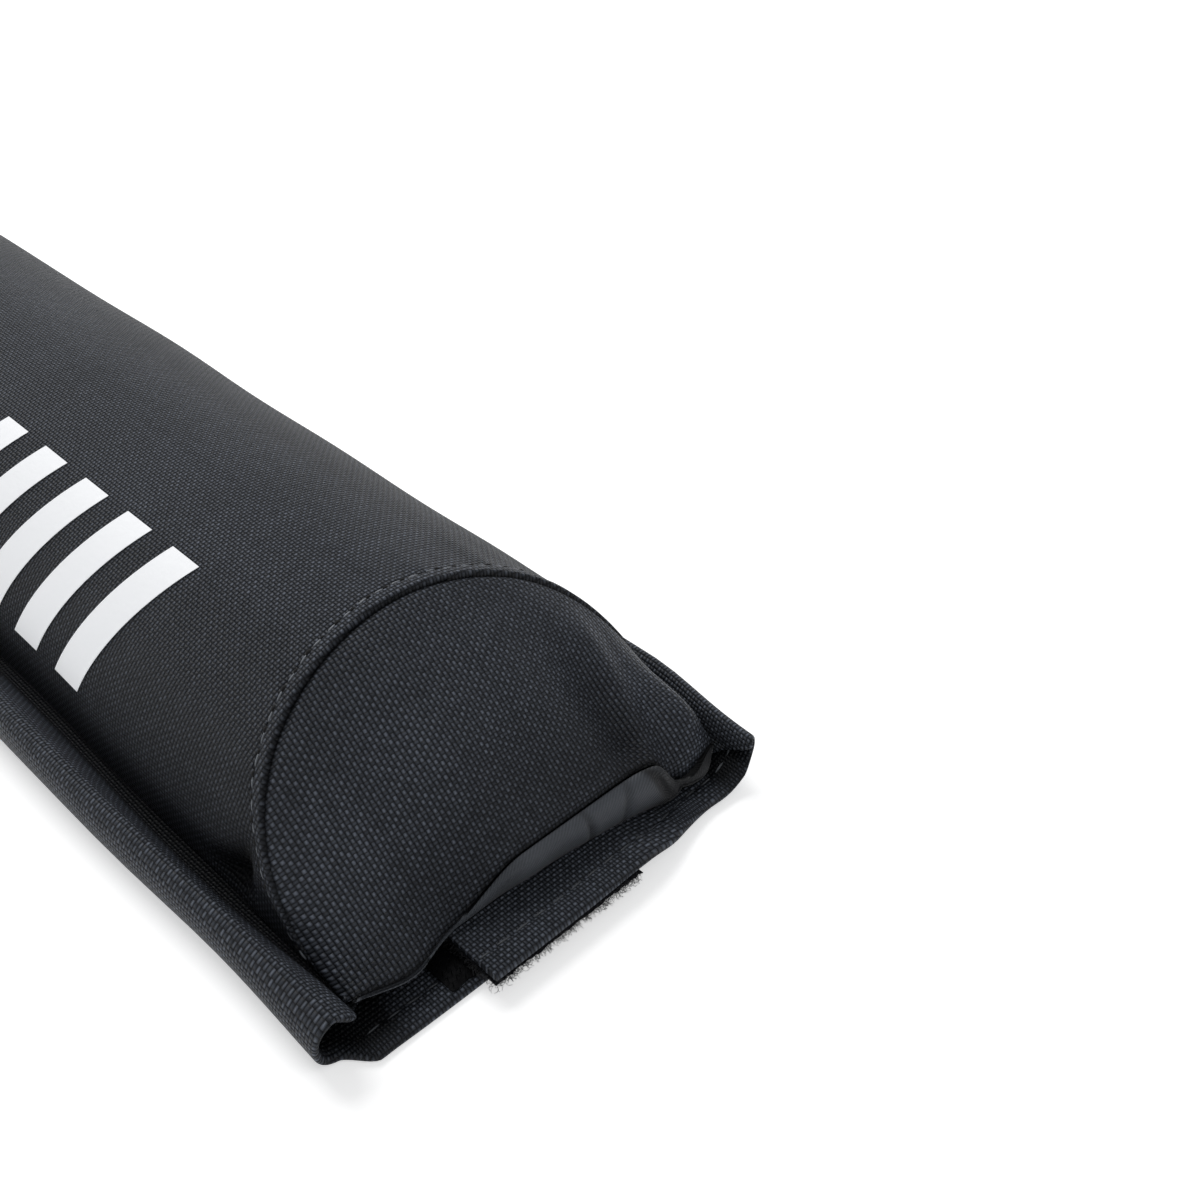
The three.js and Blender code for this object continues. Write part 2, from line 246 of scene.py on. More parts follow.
def objectNoise(tree, scale, detail):
    place = addNode(tree, "ShaderNodeTexCoord").outputs["Object"]
    return addNode(tree, "ShaderNodeTexNoise", {"Vector": place, "Scale": scale, "Detail": detail}).outputs[0]


def grainedMaterial(name, dark, light, grain, relief, values):
    # two colours mixed by a fine noise, which is the relief too
    material, tree, shader = newMaterial(name, values)
    height = objectNoise(tree, *grain)
    finishSurface(tree, shader, mixColors(tree, height, dark, light), height, relief)
    return material


def randomTone(tree, count, seed):
    # a number from 0 to 1 that is the same all along one yarn or over one cell
    place = maths(tree, "ADD", count, seed)
    return addNode(tree, "ShaderNodeTexWhiteNoise", {"W": place}, noise_dimensions="1D").outputs["Value"]


# each tone is a share of the random value, and what is added to it
wovenCloth = {
    "pitchAlong": 0.95 * mm,
    "pitchAcross": 0.84 * mm,
    "light": (0.134, 0.150, 0.186),
    "dark": (0.0008, 0.0011, 0.0018),
    "relief": 0.5 * mm,
    "lowYarn": 0.46,
    "roundAcross": 0.98,
    "roundAlong": 0.72,
    "contrast": 1.15,
    "yarnTone": (0.24, 0.80),
    "cellTone": (0.5, 0.75),
    "patchTone": (0.5, 0.75),
    "patchScale": 38,
    "cellStride": 57.31,
    "roughness": 0.5,
    "specular": 0.16,
}


def wovenMaterial(name, s):
    # plain weave: over each cell either the long yarn or the cross yarn is on top
    values = {"Roughness": s["roughness"], "Specular IOR Level": s["specular"]}
    material, tree, shader = newMaterial(name, values)
    along, across = clothUv(tree)
    u = maths(tree, "DIVIDE", along, s["pitchAlong"])
    v = maths(tree, "DIVIDE", across, s["pitchAcross"])
    uCount, vCount = maths(tree, "FLOOR", u), maths(tree, "FLOOR", v)
    parity = maths(tree, "FLOORED_MODULO", maths(tree, "ADD", uCount, vCount), 2)

    def yarnHeight(acrossYarn, alongYarn):
        humps = []
        for place, roundness in ((acrossYarn, s["roundAcross"]), (alongYarn, s["roundAlong"])):
            part = maths(tree, "SUBTRACT", maths(tree, "FRACT", place), 0.5)
            humps.append(maths(tree, "COSINE", maths(tree, "MULTIPLY", part, math.pi * roundness)))
        return maths(tree, "MULTIPLY", *humps)

    lowYarn = maths(tree, "MULTIPLY", yarnHeight(v, u), s["lowYarn"])
    height = mixNumbers(tree, parity, yarnHeight(u, v), lowYarn)
    yarn = mixNumbers(tree, parity, randomTone(tree, uCount, 3.0), randomTone(tree, vCount, 71.0))
    cell = randomTone(tree, maths(tree, "MULTIPLY_ADD", vCount, s["cellStride"], uCount), 11.0)
    patch = objectNoise(tree, s["patchScale"], 3)
    # painted shade from the mesh, times tones that differ at random by yarn, by cell and in patches
    shade = maths(tree, "SUBTRACT", 1.0, paintedShade(tree))
    for tone, key in ((yarn, "yarnTone"), (cell, "cellTone"), (patch, "patchTone")):
        shade = maths(tree, "MULTIPLY", shade, maths(tree, "MULTIPLY_ADD", tone, *s[key]))
    # painted shade in the weave: the colour darkens with the height, in the gaps between yarns and on the
    # yarn that lies under
    factor = maths(tree, "MULTIPLY", maths(tree, "POWER", height, s["contrast"]), shade)
    color = mixColors(tree, factor, s["dark"], s["light"])
    finishSurface(tree, shader, color, height, s["relief"])
    return material


coverCloth = wovenMaterial("coverCloth", wovenCloth)
flapCloth = wovenMaterial("flapCloth", {**wovenCloth, "light": (0.116, 0.130, 0.160)})
print("cloth materials made")




# section of the pad, by a share from the left base edge (0) over the crown to the right (1)
def sectionAt(share):
    angle = math.pi / 2 * (1 - np.abs(1 - 2 * share)) ** pad["sharePower"]
    angle = np.where(share <= 0.5, angle, math.pi - angle)
    c, rise = np.cos(angle), np.abs(np.sin(angle))
    y = -pad["halfWidth"] * np.sign(c) * np.abs(c) ** pad["widthPower"]
    z = pad["base"] + (pad["crown"] - pad["base"]) * rise ** pad["heightPower"]
    return y, z, pad["cornerStep"] + pad["endSlope"] * rise ** pad["slopePower"], rise


def sectionNormal(share):
    step = 1e-4
    y0, z0, _, _ = sectionAt(np.clip(share - step, 1e-5, 1))
    y1, z1, _, _ = sectionAt(np.clip(share + step, 0, 1 - 1e-5))
    size = np.maximum(np.hypot(y1 - y0, z1 - z0), 1e-12)
    return -(z1 - z0) / size, (y1 - y0) / size


arcShares = np.linspace(0, 1, 4001)
arcY, arcZ, _, _ = sectionAt(arcShares)
arcLengths = runLength(np.stack([arcY, arcZ], -1))

# rowsAt, here and for the flaps, is how far each row of points lies from the end, in mm
cover = {
    "thickness": 0.8 * mm,
    "seamGap": 0.15 * mm,
    "seamFade": 0.12,
    "creaseDepth": 1.3 * mm,
    "creaseWidth": 0.45 * mm,
    "bandRise": 0.6 * mm,
    "bandWidth": 3.7 * mm,
    "grooveDepth": 0.4 * mm,
    "puckers": 0.35 * mm,
    "pullLength": 10 * mm,
    "sag": 0.3 * mm,
    "dimpleDepth": 3.4 * mm,
    "dimplePlace": (304.5 * mm, 12.5 * mm),
    "dimpleSize": (8 * mm, 2.6 * mm, 6 * mm),
    "dimpleSlant": 0.7,
    "dimpleFoot": 5 * mm,
    "rowsAt": (
        0, 0.2, 0.4, 0.65, 1, 1.6, 2.4, 3, 3.4, 3.7, 4, 4.4, 5, 5.8, 7, 8.5, 10.5, 13, 16, 19.5, 23.5, 28, 34,
    ),
    "columns": 240,
    "middleRows": 90,
}
# how much light the cover's cloth loses, as shares
coverDark = {
    "crease": 1.3,
    "creaseWidth": 0.5 * mm,
    "stitchLine": 0.35,
    "everywhere": 0.16,
    "low": 0.50,
    "lowHeight": 38 * mm,
    "lowPower": 0.3,
    "bandSpared": 0.45,
    "dimple": 0.85,
    "most": 0.96,
}


def coverRelief(x, share, back):
    # height of the cloth over the plain section, back is the distance from the end seam
    _, _, _, rise = sectionAt(share)
    arc = np.interp(share, arcShares, arcLengths)
    inside = smooth(rise / cover["seamFade"])
    band = cover["bandRise"] * ramp(back, 0, 1.0 * mm) * (1 - ramp(back, 3.1 * mm, 1.2 * mm))
    crease = cover["creaseDepth"] * bell(back, 0, cover["creaseWidth"])
    groove = cover["grooveDepth"] * bell(back, cover["bandWidth"], cover["creaseWidth"])
    pull = np.exp(-back / cover["pullLength"]) * ramp(back, 2 * mm, 3 * mm)
    pucker = cover["puckers"] * pull * ripple(arc, x * 0.3, 11, 16 * mm, 7 * mm)
    sag = cover["sag"] * ripple(x, arc, 5, 160 * mm, 45 * mm) * ramp(back, 4 * mm, 30 * mm)
    return (band - crease - groove) * inside + pucker + sag - cover["dimpleDepth"] * coverDimple(x, share)


def coverDimple(x, share):
    # a pinched fold low on the side, behind the seam and slanting up towards it
    _, z, _, _ = sectionAt(share)
    placeX, placeZ = cover["dimplePlace"]
    reachBehind, reachAhead, reachUp = cover["dimpleSize"]
    total = 0
    for end in (1, -1):
        side = (share < 0.5) if end > 0 else (share > 0.5)
        ahead = end * x - placeX
        high = z - placeZ - cover["dimpleSlant"] * ahead
        reach = np.where(ahead < 0, reachBehind, reachAhead)
        total = total + side * bell(ahead, 0, reach) * bell(high, 0, reachUp)
    return total * ramp(z, pad["base"], cover["dimpleFoot"])


def coverShade(x, share):
    # painted shade over the cover: most in the end seam's crease, along the stitch groove, in the dimple and
    # low on the sides, less on the band by the seam
    s = coverDark
    _, z, setBack, _ = sectionAt(share)
    back = pad["halfLength"] - setBack - np.abs(x)
    crease = s["crease"] * bell(back, 0, s["creaseWidth"])
    stitchLine = s["stitchLine"] * bell(back, cover["bandWidth"], cover["creaseWidth"])
    onBand = 1 - ramp(back, cover["bandWidth"], 1.2 * mm)
    low = s["low"] * np.clip(1 - (z - pad["base"]) / s["lowHeight"], 0, 1) ** s["lowPower"]
    low = (s["everywhere"] + low) * (1 - s["bandSpared"] * onBand)
    return np.clip(crease + stitchLine + low + s["dimple"] * coverDimple(x, share), 0, s["most"])


def coverPoint(x, share, lift=0.0):
    y, z, setBack, _ = sectionAt(share)
    back = pad["halfLength"] - setBack - np.abs(x)
    ny, nz = sectionNormal(share)
    height = coverRelief(x, share, back) + lift
    return np.stack([x + 0 * y, y + ny * height + pad["middleY"], z + nz * height], -1)


def makeCover():
    share = np.linspace(0, 1, cover["columns"])
    _, _, setBack, _ = sectionAt(share)
    reach = pad["halfLength"] - setBack - cover["seamGap"]
    near = np.array(cover["rowsAt"]) * mm
    middle = np.linspace(1, -1, cover["middleRows"] + 2)[1:-1]
    rows = [reach - back for back in near]
    rows += [(reach - near[-1]) * part for part in middle]
    rows += [-(reach - back) for back in near[::-1]]
    x = np.array(rows)
    shares = np.broadcast_to(share, x.shape)
    outer = onBase(coverPoint(x, shares), pad["base"])
    inner = onBase(coverPoint(x, shares, -cover["thickness"]), pad["base"])
    uv = np.stack([x, np.interp(shares, arcShares, arcLengths)], -1)
    return shellPiece("cover", outer, inner, uv, coverCloth, coverShade(x, shares))


coverPiece = makeCover()
print("cover made")

# end panels, by the same share across and a share down from the seam to the foot
panel = {
    "thickness": 0.8 * mm,
    "archHeight": 7.8 * mm,
    "archFlat": 13 * mm,
    "archRamp": 20 * mm,
    "archShift": 6.5 * mm,
    "earFlat": 21.5 * mm,
    "earRamp": 6 * mm,
    "notchRise": (1.3 * mm, 41 * mm, 3.6 * mm),
    "lowestFoot": 1.6 * mm,
    "belly": 2 * mm,
    "valleyDepth": 2.9 * mm,
    "valleyPlace": (0.64, 0.05),
    "valleyWidth": 0.044,
    "earRise": 3.8 * mm,
    "earPlace": 0.85,
    "earWidth": 0.1,
    "cornerSwell": (3.2 * mm, 36 * mm, 8 * mm),
    "earSwell": (4.6 * mm, 37 * mm, 8 * mm),
    "creaseDepth": 1.0 * mm,
    "creaseWidth": 0.6 * mm,
    "seamFade": 0.12,
    "footTuck": 0.5 * mm,
    "footWidth": 0.8 * mm,
    "earTuck": 2.2 * mm,
    "earTuckAt": (0.79, 0.07),
    "earTuckWidth": 2.2 * mm,
    "wrinkle": 0.4 * mm,
    "outerFloor": 0.07 * mm,
    "innerFloor": 0.85 * mm,
    "columns": 220,
    "rows": 90,
}
# how much light the panel's cloth loses, as shares
panelDark = {
    "crease": 1.3,
    "creaseWidth": 0.55 * mm,
    "seamFade": 0.06,
    "footLine": 0.5,
    "foot": 0.42,
    "earSpared": 0.8,
    "underSeam": 0.17,
    "valley": 0.3,
    "valleyWidth": 0.05,
    "most": 0.95,
}
panelNormal = np.array([0.66, 0, 0.75])
panelDown = np.array([0.75, 0, -0.66])


def panelFoot(share, end):
    y = -(pad["halfWidth"] - pad["footInset"]) * np.cos(math.pi * share)
    side = end * y - panel["archShift"]
    ear = (side - panel["earFlat"]) / panel["earRamp"]
    away = np.clip(np.where(side > 0, ear, (-side - panel["archFlat"]) / panel["archRamp"]), 0, 1)
    arch = 0.5 * (1 + np.cos(math.pi * away))
    x = pad["halfLength"]
    for turn, (rise, place, width) in ((1, panel["earSwell"]), (-1, panel["cornerSwell"])):
        x = x + rise * bell(turn * end * y, place, width)
    z = pad["base"] + panel["lowestFoot"] + (panel["archHeight"] - panel["lowestFoot"]) * arch
    rise, place, width = panel["notchRise"]
    z = z + rise * bell(end * y, place, width)
    return np.stack([end * x, y, z], -1)


def valleyLine(down):
    start, lean = panel["valleyPlace"]
    return start + lean * down


def panelPoint(share, down, end):
    y, z, setBack, rise = sectionAt(share)
    top = np.stack([end * (pad["halfLength"] - setBack), y, z], -1)
    foot = panelFoot(share, end)
    point = top + (foot - top) * down[..., None]
    length = np.linalg.norm(foot - top, axis=-1)
    fromSeam, fromFoot = down * length, (1 - down) * length
    turned = share if end > 0 else 1 - share
    belly = panel["belly"] * 4 * down * (1 - down) * rise
    valley = panel["valleyDepth"] * bell(turned, valleyLine(down), panel["valleyWidth"])
    valley = valley * ramp(down, 0.15, 0.5) * (1 - ramp(down, 0.85, 0.15))
    lobe = np.abs(np.sin(math.pi * np.clip(down, 0, 1) ** 1.25)) ** 1.6
    ear = panel["earRise"] * bell(turned, panel["earPlace"], panel["earWidth"]) * lobe
    crease = panel["creaseDepth"] * bell(fromSeam, 0, panel["creaseWidth"]) * smooth(rise / panel["seamFade"])
    tuck = panel["footTuck"] * bell(fromFoot, 0, panel["footWidth"])
    earTuck = panel["earTuck"] * bell(turned, *panel["earTuckAt"]) * bell(fromFoot, 0, panel["earTuckWidth"])
    soft = np.sin(math.pi * np.clip(down, 0, 1)) ** 0.5 * smooth(rise / 0.3)
    wrinkle = panel["wrinkle"] * ripple(point[..., 1], point[..., 0], 23, 60 * mm, 18 * mm) * soft
    push = belly + ear - valley - crease - tuck - earTuck + wrinkle
    point = point + push[..., None] * panelNormal * np.array([end, 0, 1])
    point[..., 1] += pad["middleY"]
    return point


def panelShade(outer, share, down, end):
    s = panelDark
    _, _, _, rise = sectionAt(share)
    length = np.linalg.norm(outer[-1] - outer[0], axis=-1)[None, :]
    fromSeam, fromFoot = down * length, (1 - down) * length
    turned = share if end > 0 else 1 - share
    # painted shade in the seam's crease and along the foot
    shade = s["crease"] * bell(fromSeam, 0, s["creaseWidth"]) * smooth(rise / s["seamFade"])
    shade = shade + s["footLine"] * bell(fromFoot, 0, panel["footWidth"])
    # less light near the foot, except on the ear, and a little less just below the seam
    onEar = bell(turned, panel["earPlace"], panel["earWidth"])
    shade = shade + s["foot"] * ramp(down, 0.45, 0.5) * (1 - s["earSpared"] * onEar)
    shade = shade + s["underSeam"] * (1 - smooth(down / 0.4))
    shade = shade + s["valley"] * bell(turned, valleyLine(down), s["valleyWidth"]) * smooth(down / 0.6)
    return np.clip(shade, 0, s["most"])


def makePanel(name, end):
    share = np.linspace(0, 1, panel["columns"])
    t = np.linspace(0, 1, panel["rows"])
    # rows lie closer at the seam and at the foot
    down = 0.5 - 0.5 * np.cos(math.pi * t) * (1 - 0.25 * np.sin(math.pi * t) ** 2)
    downs, shares = np.meshgrid(down, share, indexing="ij")
    outer = onBase(panelPoint(shares, downs, end), pad["base"] + panel["outerFloor"])
    normal = gridNormals(outer)
    if normal[..., 2].mean() < 0:
        normal = -normal
    inner = onBase(outer - normal * panel["thickness"], pad["base"] + panel["innerFloor"])
    uv = np.stack([outer[..., 1], outer @ (panelDown * np.array([end, 0, 1]))], -1)
    return shellPiece(name, outer, inner, uv, coverCloth, panelShade(outer, shares, downs, end))


panelFront = makePanel("endPanelFront", 1)
panelRear = makePanel("endPanelRear", -1)
print("end panels made")

# lining: from the panel's foot, round a soft lip and under the foam to the other end
# creases are given in mm: place across, width, depth and lean
lining = {
    "thickness": 0.5 * mm,
    "lipBulge": 1.9 * mm,
    "lipShare": 0.8,
    "reach": (2.8 * mm, -14 * mm, 40 * mm),
    "hang": (1.7 * mm, 28 * mm, 10 * mm),
    "underReach": 8 * mm,
    "wave": 0.35 * mm,
    "creases": ((9, 0.8, 0.9, 1), (28, 1.2, 1.3, 5), (19, 1.0, 0.7, -3), (-12, 4, 0.4, 0)),
    "columns": 220,
    "lipRows": 26,
    "underRows": 24,
    "flatLength": 0.702,
    "rib": 0.75 * mm,
    "thread": 0.3 * mm,
    "slant": 0.8,
    "relief": 0.03 * mm,
    "dark": (0.032, 0.036, 0.043),
    "light": (0.066, 0.073, 0.087),
    "shadow": (0.004, 0.0045, 0.006),
}


def liningCreases(y, lip):
    total = 0
    for place, width, depth, lean in np.array(lining["creases"]) * mm:
        total = total + depth * bell(y - lean * (lip - 0.5), place, width)
    return total


def lipCurve(share, q, end):
    # down the lip first, then back under the foam
    foot = panelFoot(share, end)
    y = foot[..., 1]
    lip = np.clip(q / lining["lipShare"], 0, 1)
    under = np.clip((q - lining["lipShare"]) / (1 - lining["lipShare"]), 0, 1)
    full = (foot[..., 2] - pad["base"] - panel["lowestFoot"]) / (panel["archHeight"] - panel["lowestFoot"])
    full = np.clip(full, 0, 1)
    height = foot[..., 2] - pad["base"] - (1.2 - 0.7 * full) * mm
    wave = lining["wave"] * ripple(y, q * 4 * mm, 31, 26 * mm, 9 * mm)
    most, start, width = lining["reach"]
    reach = most * ramp(y * end, start, width) * full ** 0.3
    bulge = lining["lipBulge"] * full + wave - liningCreases(y * end, lip)
    out = bulge * np.sin(math.pi * lip ** 0.85) + reach * lip
    x = foot[..., 0] + end * (out - lining["underReach"] * under - 0.5 * mm * (1 - full) * lip)
    drop, place, width = lining["hang"]
    hang = drop * bell(y * end, place, width) * lip ** 2 * (1 - under)
    z = pad["base"] + height * (1 - smooth(lip * 0.9 + 0.02) / smooth(0.92)) - hang
    return np.stack([x, y + pad["middleY"], z], -1)


def liningShade(share, q, end):
    # painted shade in its creases, below the ear and where it turns under
    y = panelFoot(share, end)[..., 1] * end
    lip = np.clip(q / lining["lipShare"], 0, 1)
    dark = 0.95 * ramp(y, 23 * mm, 8 * mm) + 0.7 * ramp(q, 0.62, 0.2)
    return dark + 0.5 * liningCreases(y, lip) / mm


def makeLining():
    share = np.linspace(0, 1, lining["columns"])
    q = np.linspace(0, 1, lining["lipRows"])
    qs, shares = np.meshgrid(q, share, indexing="ij")
    front = lipCurve(shares, qs, 1)
    rear = lipCurve(shares, qs, -1)[::-1]
    parts = np.linspace(1, 0, lining["underRows"] + 2)[1:-1, None, None]
    outer = np.concatenate([front, front[-1] * parts + rear[0] * (1 - parts), rear])
    normal = gridNormals(outer)
    if normal[len(outer) // 2, :, 2].mean() > 0:
        normal = -normal
    inner = outer - normal * lining["thickness"]
    uv = np.stack([outer[..., 1], runLength(outer)], -1)
    shade = np.zeros(outer.shape[:2])
    shade[: len(front)] = liningShade(shares, qs, 1)
    shade[-len(rear):] = liningShade(shares, qs, -1)[::-1]
    return shellPiece("lining", outer, inner, uv, taffetaMaterial("liningTaffeta", lining), shade)


def taffetaMaterial(name, s):
    values = {"Roughness": 0.5, "Specular IOR Level": 0.35, "Sheen Weight": 0.08}
    material, tree, shader = newMaterial(name, values)
    along, across = clothUv(tree)

    def ribs(place, pitch):
        return maths(tree, "SINE", maths(tree, "MULTIPLY", place, 2 * math.pi / pitch))

    rib = ribs(maths(tree, "MULTIPLY_ADD", along, s["slant"], across), s["rib"])
    height = maths(tree, "MULTIPLY_ADD", ribs(along, s["thread"]), 0.3, rib)
    patch = maths(tree, "MULTIPLY_ADD", objectNoise(tree, 60, 3), 0.6, 0.2)
    color = mixColors(tree, maths(tree, "MULTIPLY_ADD", rib, 0.26, patch), s["dark"], s["light"])
    # painted shade from the mesh darkens the taffeta towards its shadow colour
    color = mixColors(tree, paintedShade(tree), color, s["shadow"])
    finishSurface(tree, shader, color, height, s["relief"])
    return material


liningPiece = makeLining()
print("lining made")


def hookRecede(path):
    return smooth((-pad["halfWidth"] - path[..., 0]) / (6 * mm))


def loopRecede(path):
    return ramp(path[..., 0], 12.5 * mm, 24 * mm) + 0.55 * ramp(path[..., 0], 46 * mm, 5 * mm)


# side flaps: a cloth strip along the pad that follows a path across it, given as (y, z) in mm
flap = {
    "thickness": 1.0 * mm,
    "edgeRound": 0.8 * mm,
    "edgeWave": 0.2 * mm,
    "sideWave": 0.2 * mm,
    "hemWidth": 5.6 * mm,
    "hemPuff": 0.35 * mm,
    "hemUneven": 0.35,
    "hemStep": 0.35 * mm,
    "grooveDepth": 0.28 * mm,
    "grooveWidth": 0.55 * mm,
    "foldFrom": 38 * mm,
    "mostShade": 0.95,
    "rowsAt": (
        0, 0.08, 0.25, 0.5, 0.8, 1.2, 1.7, 2.3, 3, 3.7, 4.3, 4.8, 5.2, 5.6, 6, 6.4, 7, 8, 9.5, 11.5, 14, 17,
        21, 26, 32,
    ),
    "pathSteps": 10,
    "middleRows": 54,
}
# recede is how far the cloth's end stands back, and the changes are the places along the pad
# where a path begins to open and where it has opened
hookFlap = {
    "side": 1,
    "seed": 41,
    "halfLength": 347 * mm,
    "recede": 5 * mm,
    "recedeShare": hookRecede,
    "rootRecede": 10 * mm,
    "rootReach": 12 * mm,
    "nearEnd": (
        (-45.2, 4.8), (-47.6, 4.8), (-49.1, 5.8), (-49.6, 8.4), (-51.6, 10.9), (-53.8, 11.5), (-56.5, 9.4),
        (-57.5, 6), (-56.4, 2), (-53, 0.5), (-46, 0.5), (-25.5, 0.5), (12.5, 0.5),
    ),
    "alongSide": (
        (-45.2, 4.8), (-48.6, 4.7), (-51.1, 5.3), (-52.7, 7.4), (-55.2, 10.3), (-57.7, 11.7), (-59.5, 10.6),
        (-60.4, 7), (-59.5, 2.8), (-56.3, 0.6), (-47, 0.5), (-25.5, 0.5), (12.5, 0.5),
    ),
    "change": (340 * mm, 215 * mm),
    "rootChange": (346 * mm, 300 * mm),
    "creviceShade": 0.93,
}
loopFlap = {
    "side": -1,
    "seed": 57,
    "halfLength": 351 * mm,
    "recede": 3.0 * mm,
    "recedeShare": loopRecede,
    "rootRecede": 9 * mm,
    "rootReach": 8 * mm,
    "nearEnd": (
        (45.2, 4.8), (46.9, 4.9), (48, 5.9), (48.3, 8.3), (48.6, 10.4), (49.2, 11.3), (50.1, 10.8),
        (50.3, 8.8), (49.1, 6), (47.2, 3.9), (44.6, 2.5), (41.6, 1.8), (38.4, 1.6), (35, 1.7), (26.1, 2.6),
        (21.9, 3.4), (17.7, 4.3), (13.1, 4.8), (0, 4.8), (-25.5, 4.8),
    ),
    "alongSide": (
        (45.2, 4.8), (47.9, 4.8), (49.4, 5.8), (50.6, 8.1), (51.8, 10.4), (53, 11.5), (54, 10.6), (53.6, 7.9),
        (52, 5.1), (49.4, 3.3), (46, 2.85), (42.4, 2.2), (39, 0.9), (36.4, 0.5), (20.1, 0.5), (17.9, 1.7),
        (15.7, 3.8), (13.1, 4.8), (0, 4.8), (-25.5, 4.8),
    ),
    "change": (349 * mm, 312 * mm),
    "rootChange": (349 * mm, 312 * mm),
    "creviceShade": 0.5,
}
endDistances = np.array(flap["rowsAt"]) * mm


def roundedPath(points):
    # centripetal curve through the points, with the same number of steps in each stretch
    p = np.array(points, dtype=float)
    p = np.vstack([2 * p[0] - p[1], p, 2 * p[-1] - p[-2]])
    knots = np.insert(np.cumsum(np.linalg.norm(np.diff(p, axis=0), axis=1) ** 0.5), 0, 0)

    def between(low, high, a, b, t):
        return a * (high - t) / (high - low) + b * (t - low) / (high - low)

    line = []
    for k in range(len(p) - 3):
        a, b, c, d = p[k : k + 4]
        t0, t1, t2, t3 = knots[k : k + 4]
        for t in np.linspace(t1, t2, flap["pathSteps"], endpoint=False):
            ab, bc, cd = between(t0, t1, a, b, t), between(t1, t2, b, c, t), between(t2, t3, c, d, t)
            line.append(between(t1, t2, between(t0, t2, ab, bc, t), between(t1, t3, bc, cd, t), t))
    return np.array([*line, p[-2]]) * mm


def flapPlaces(s, near, run):
    # for each point of the strip, its place along the pad and its distance from the cut end
    share = np.linspace(0, 1, len(near))
    half = s["halfLength"] - s["recedeShare"](near) * s["recede"]
    half = half - s["rootRecede"] * (1 - ramp(run, 0, s["rootReach"]))
    wave = flap["edgeWave"] * ripple(share * 0.1, share * 0, s["seed"], 0.03, 0.011)
    inward = np.append(endDistances, endDistances[-1] + 8 * mm)[:, None]
    fade = 1 - ramp(inward, 0, 20 * mm)
    front = half + wave * fade - inward
    rear = -(half + wave[::-1] * fade - inward)[::-1]
    part = np.linspace(1, -1, flap["middleRows"])[1:-1, None]
    atEnd = inward + 0 * share
    middle = inward[-1] + front[-1] * (1 - np.abs(part))
    return np.concatenate([front, front[-1] * part, rear]), np.concatenate([atEnd, middle, atEnd[::-1]])


def openedPath(s, near, run, x):
    # the part next to the root opens sooner than the rest of the roll
    fromRoot = ramp(run, 9 * mm, 4 * mm)
    change = 0
    for key, share in (("rootChange", 1 - fromRoot), ("change", fromRoot)):
        start, stop = s[key]
        change = change + share * smooth((start - np.abs(x)) / (start - stop))
    far = roundedPath(s["alongSide"])
    path = near * (1 - change[..., None]) + far * change[..., None]
    outside = flap["sideWave"] * ramp(np.abs(path[..., 0]), flap["foldFrom"], 8 * mm)
    across = np.linspace(0, 0.06, len(near))
    path[..., 0] += outside * ripple(x, across, s["seed"] + 2, 120 * mm, 28 * mm)
    path[..., 1] += outside * ripple(x, across, s["seed"] + 3, 90 * mm, 24 * mm)
    return path


def hemRelief(s, path, x, distance, edge):
    # a puffed hem along both cut ends, with a stitched groove behind it; the loop flap's fades out
    # where its roll begins
    share = np.linspace(0, 1, x.shape[1])
    uneven = 1 + flap["hemUneven"] * ripple(share * 0.1 + 0 * x, x * 0.02, s["seed"] + 4, 0.03, 0.01)
    puff = np.sin(math.pi * np.clip(distance / flap["hemWidth"], 0, 1)) ** 0.6
    step = flap["hemStep"] * smooth((flap["hemWidth"] - distance) / (0.8 * mm))
    groove = flap["grooveDepth"] * bell(distance, flap["hemWidth"], flap["grooveWidth"])
    kept = smooth((pad["halfWidth"] - 4 * mm - path[..., 0]) / (5 * mm))
    return ((flap["hemPuff"] * puff * uneven + step) * edge - groove) * kept


def makeFlap(name, s):
    near = roundedPath(s["nearEnd"])
    run = runLength(near)
    x, distance = flapPlaces(s, near, run)
    path = openedPath(s, near, run, x)
    middle = np.stack([x, path[..., 0] + pad["middleY"], path[..., 1]], -1)
    middle = onBase(middle, flap["thickness"] / 2)
    along = np.gradient(middle, axis=1)
    along[..., 0] = 0
    along = unit(along)
    normal = np.stack([0 * x, -along[..., 2], along[..., 1]], -1) * s["side"]
    edge = roundRim(distance, flap["edgeRound"], 0.03)
    half = flap["thickness"] / 2 * edge
    top = onBase(middle + normal * (half + hemRelief(s, path, x, distance, edge))[..., None], 0)
    bottom = onBase(middle - normal * half[..., None], 0)
    uv = np.stack([x, runLength(middle[len(x) // 2]) + 0 * x], -1)
    # painted shade in the hollow inside a fold and on what lies under the pad
    hollow = ramp(np.abs(path[..., 0]), flap["foldFrom"], 6 * mm) * (0.55 + 0.45 * ramp(distance, 0, 4 * mm))
    under = smooth((342 * mm - np.abs(x)) / (10 * mm)) * smooth((3.5 * mm - path[..., 1]) / (2 * mm))
    inside = np.clip(0.95 * hollow + 0.5 * under, 0, flap["mostShade"])
    # painted shade in the crevice between the cover and the fold, on the outer face of the cloth
    crevice = s["creviceShade"] * (1 - ramp(run, 4.2 * mm, 2.6 * mm)) + 0 * x
    return shellPiece(name, top, bottom, uv, flapCloth, inside, crevice), top, normal, uv


hookFlapPiece, hookTop, hookNormal, hookUv = makeFlap("hookFlap", hookFlap)
loopFlapPiece, loopTop, loopNormal, loopUv = makeFlap("loopFlap", loopFlap)
print("flaps made")

# hook and loop tapes between the flaps
tape = {
    "width": 38 * mm,
    "rim": 0.5 * mm,
    "fray": 0.2 * mm,
    "hookHalf": 345.6 * mm,
    "hookEdge": -31.5 * mm,
    "hookBase": 1.3 * mm,
    "hookThickness": 0.9 * mm,
    "loopHalf": 350.8 * mm,
    "loopEdge": -25.6 * mm,
    "loopBase": 2.6 * mm,
    "loopThickness": 1.4 * mm,
    "ridge": 1.9 * mm,
    "rows": 400,
    "columns": 40,
}


